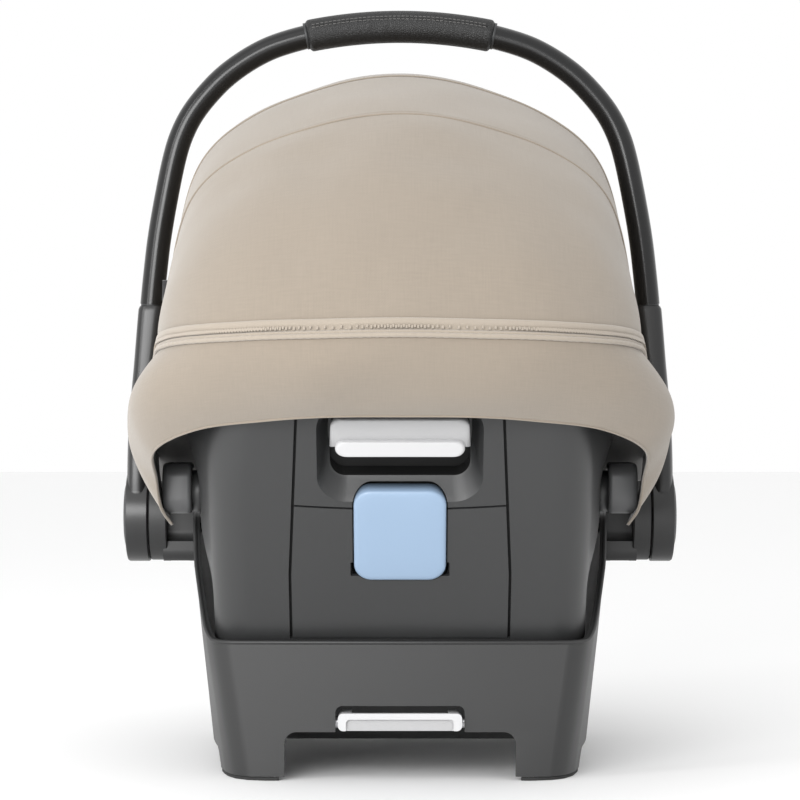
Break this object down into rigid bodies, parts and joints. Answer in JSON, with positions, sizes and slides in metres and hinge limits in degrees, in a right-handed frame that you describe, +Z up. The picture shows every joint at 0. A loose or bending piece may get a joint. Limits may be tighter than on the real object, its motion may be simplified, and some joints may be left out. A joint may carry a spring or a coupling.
{
  "type": "infant car seat",
  "caption": "Infant car seat with a swinging carry handle, folding fabric canopy with rear skirt, reclining shell in a footed cradle frame and a five-point harness.",
  "frame": {"origin": "centre of the bounding box in X and Y, on the ground", "axes": "+Z up, +Y towards the child's feet, +X to the right seen from behind the seat"},
  "size_m": [0.438, 0.6522, 0.5933],
  "materials": {
    "shell_plastic": "fine moulded texture",
    "frame_plastic": "fine moulded texture",
    "dark_plastic": "satin",
    "handle_tube": "satin dark coating",
    "grip_leather": "pebbled grain",
    "canopy_fabric": "fine weave",
    "zip_tape": "ribbed tape",
    "pad_fabric": "soft knit",
    "foam": "beaded foam",
    "webbing": "woven strap",
    "white_plastic": "satin",
    "blue_plastic": "satin",
    "red_plastic": "satin",
    "steel": "plated",
    "rubber": "matte"
  },
  "bodies": {
    "frame": {"cradle_frame": "frame_plastic", "hub_boss_left": "frame_plastic", "hub_boss_right": "frame_plastic", "pivot_pin_left": "steel", "pivot_pin_right": "steel", "latch_rod_rear": "steel", "latch_rod_front": "steel", "foot_pad_rear_left": "rubber", "foot_pad_rear_right": "rubber", "foot_pad_front_left": "rubber", "foot_pad_front_right": "rubber", "gear_spring_left": "steel", "gear_spring_right": "steel"},
    "base_lever": {"base_release_lever": "white_plastic"},
    "handle": {"handle_tube": "handle_tube", "handle_grip": "grip_leather", "handle_arm_left": "frame_plastic", "handle_arm_right": "frame_plastic"},
    "button_right": {"handle_button_right": "dark_plastic", "lock_gear_right": "dark_plastic"},
    "button_left": {"handle_button_left": "dark_plastic", "lock_gear_left": "dark_plastic"},
    "shell": {"shell": "shell_plastic", "back_bezel": "shell_plastic", "back_cover": "shell_plastic", "recline_rail": "steel", "belt_guide_left": "shell_plastic", "belt_guide_right": "shell_plastic", "foam_liner": "foam", "seat_pad": "pad_fabric", "head_support": "pad_fabric", "shoulder_strap_left": "webbing", "shoulder_strap_right": "webbing", "strap_pad_left": "pad_fabric", "strap_pad_right": "pad_fabric", "lap_strap_left": "webbing", "lap_strap_right": "webbing", "crotch_strap": "webbing", "buckle_body": "dark_plastic", "adjuster_housing": "dark_plastic", "canopy_skirt": "canopy_fabric", "zipper_band": "zip_tape"},
    "recline_lever": {"recline_lever": "white_plastic"},
    "paddle": {"release_button": "blue_plastic"},
    "buckle_button": {"buckle_button": "red_plastic"},
    "adjuster_button": {"adjuster_button": "white_plastic"},
    "chest_clip": {"chest_clip": "dark_plastic"},
    "canopy_rear": {"canopy_bow_rear": "dark_plastic", "canopy_rear_panel": "canopy_fabric"},
    "canopy_mid": {"canopy_bow_mid": "dark_plastic", "canopy_mid_panel": "canopy_fabric"},
    "canopy_front": {"canopy_bow_front": "dark_plastic", "canopy_front_panel": "canopy_fabric"}
  },
  "joints": [
    {"name": "handle_swing", "type": "hinge", "parent": "frame", "child": "handle", "pos_m": [0, -0.0043, 0.191], "axis": [1, 0, 0], "range_deg": [0, 110]},
    {"name": "handle_button_right", "type": "slide", "parent": "handle", "child": "button_right", "axis": [-1, 0, 0], "range_m": [0, 0.004], "stiffness_N_per_m": 1500, "deforming": ["gear_spring_right"]},
    {"name": "handle_button_left", "type": "slide", "parent": "handle", "child": "button_left", "axis": [1, 0, 0], "range_m": [0, 0.004], "stiffness_N_per_m": 1500, "deforming": ["gear_spring_left"]},
    {"name": "shell_recline", "type": "hinge", "parent": "frame", "child": "shell", "pos_m": [0, -0.0043, 0.191], "axis": [1, 0, 0], "range_deg": [0, 10]},
    {"name": "recline_lever", "type": "hinge", "parent": "shell", "child": "recline_lever", "pos_m": [0, -0.25185, 0.26978], "axis": [-1, 0, 0], "range_deg": [0, 18], "stiffness_Nm_per_rad": 0.4},
    {"name": "release_button", "type": "hinge", "parent": "shell", "child": "paddle", "pos_m": [0, -0.22222, 0.21645], "axis": [1, 0, 0], "range_deg": [0, 6], "stiffness_Nm_per_rad": 1},
    {"name": "base_release_lever", "type": "hinge", "parent": "frame", "child": "base_lever", "pos_m": [0, -0.1543, 0.042], "axis": [-1, 0, 0], "range_deg": [0, 10], "stiffness_Nm_per_rad": 0.6},
    {"name": "canopy_fold", "type": "hinge", "parent": "shell", "child": "canopy_rear", "pos_m": [0, -0.0043, 0.191], "axis": [1, 0, 0], "range_deg": [0, 27.5], "deforming": ["canopy_rear_panel", "canopy_skirt"]},
    {"name": "canopy_fold_mid", "type": "hinge", "parent": "canopy_rear", "child": "canopy_mid", "pos_m": [0, -0.0043, 0.191], "axis": [1, 0, 0], "range_deg": [0, 15.6], "deforming": ["canopy_mid_panel"]},
    {"name": "canopy_fold_front", "type": "hinge", "parent": "canopy_mid", "child": "canopy_front", "pos_m": [0, -0.0043, 0.191], "axis": [1, 0, 0], "range_deg": [0, 43.6], "deforming": ["canopy_front_panel"]},
    {"name": "buckle_button", "type": "slide", "parent": "shell", "child": "buckle_button", "axis": [0, 0.5, -0.866], "range_m": [0, 0.0025], "stiffness_N_per_m": 1200},
    {"name": "adjuster_button", "type": "hinge", "parent": "shell", "child": "adjuster_button", "pos_m": [0, 0.17894, 0.15361], "axis": [1, 0, 0], "range_deg": [0, 8], "stiffness_Nm_per_rad": 0.15},
    {"name": "chest_clip_slide", "type": "slide", "parent": "shell", "child": "chest_clip", "axis": [0, 0.5, -0.866], "range_m": [-0.005, 0.008]}
  ],
  "couplings": [
    {"joint": "canopy_fold_mid", "follows": "canopy_fold", "ratio": 0.56364},
    {"joint": "canopy_fold_front", "follows": "canopy_fold", "ratio": 1.5818}
  ]
}
